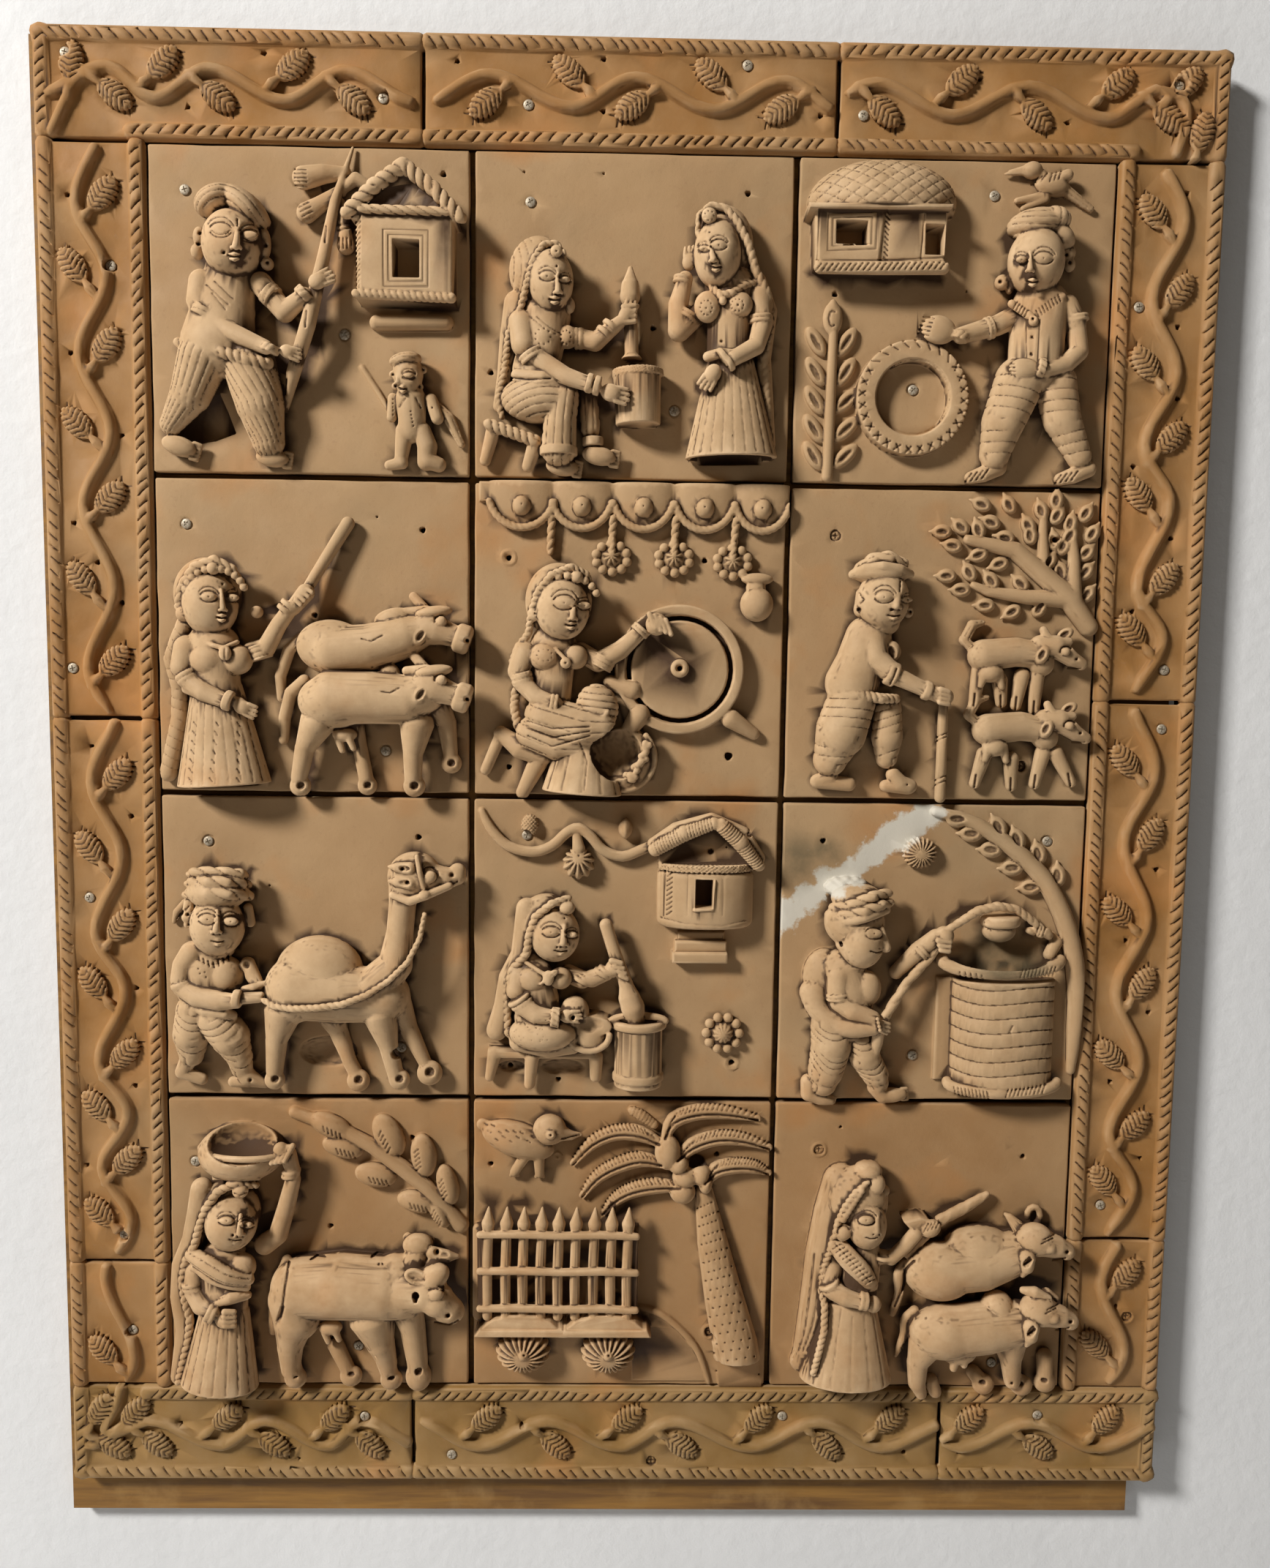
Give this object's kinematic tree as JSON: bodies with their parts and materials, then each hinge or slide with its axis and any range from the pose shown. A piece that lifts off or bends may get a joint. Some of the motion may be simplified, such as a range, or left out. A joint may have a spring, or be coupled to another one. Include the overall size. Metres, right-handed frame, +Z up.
{
  "type": "terracotta relief wall panel",
  "caption": "Upright wall panel of square terracotta tiles with village scenes in high relief, framed by vine-carved border tiles and screwed to a wooden board.",
  "frame": {"origin": "middle of the board's back face, which lies against the wall", "axes": "+Z up the panel, +Y into the wall, -Y out of the reliefs towards the viewer, +X to the viewer's right"},
  "size_m": [0.9517, 0.0692, 1.2384],
  "materials": {
    "terracotta": "unglazed, fired, dusty",
    "board_wood": "stained, worn",
    "screw_steel": "dulled"
  },
  "bodies": {
    "root": {"picture_tile_a": "terracotta", "picture_tile_b": "terracotta", "picture_tile_c": "terracotta", "picture_tile_d": "terracotta", "picture_tile_e": "terracotta", "picture_tile_f": "terracotta", "picture_tile_g": "terracotta", "picture_tile_h": "terracotta", "picture_tile_i": "terracotta", "picture_tile_j": "terracotta", "picture_tile_k": "terracotta", "picture_tile_l": "terracotta", "border_top_left": "terracotta", "border_top_mid": "terracotta", "border_top_right": "terracotta", "border_bottom_left": "terracotta", "border_bottom_mid": "terracotta", "border_bottom_right": "terracotta", "border_left_short": "terracotta", "border_left_low": "terracotta", "border_left_up": "terracotta", "border_right_short": "terracotta", "border_right_low": "terracotta", "border_right_up": "terracotta", "backing_board": "board_wood", "screw_01": "screw_steel", "screw_02": "screw_steel", "screw_03": "screw_steel", "screw_04": "screw_steel", "screw_05": "screw_steel", "screw_06": "screw_steel", "screw_07": "screw_steel", "screw_08": "screw_steel", "screw_09": "screw_steel", "screw_10": "screw_steel", "screw_11": "screw_steel", "screw_12": "screw_steel", "screw_13": "screw_steel", "screw_14": "screw_steel", "screw_15": "screw_steel", "screw_16": "screw_steel", "screw_17": "screw_steel", "screw_18": "screw_steel", "screw_19": "screw_steel", "screw_20": "screw_steel", "screw_21": "screw_steel", "screw_22": "screw_steel", "screw_23": "screw_steel", "screw_24": "screw_steel", "screw_25": "screw_steel", "screw_26": "screw_steel", "screw_27": "screw_steel", "screw_28": "screw_steel", "screw_29": "screw_steel", "screw_30": "screw_steel", "screw_31": "screw_steel", "screw_32": "screw_steel", "screw_33": "screw_steel", "screw_34": "screw_steel", "screw_35": "screw_steel"}
  },
  "joints": []
}
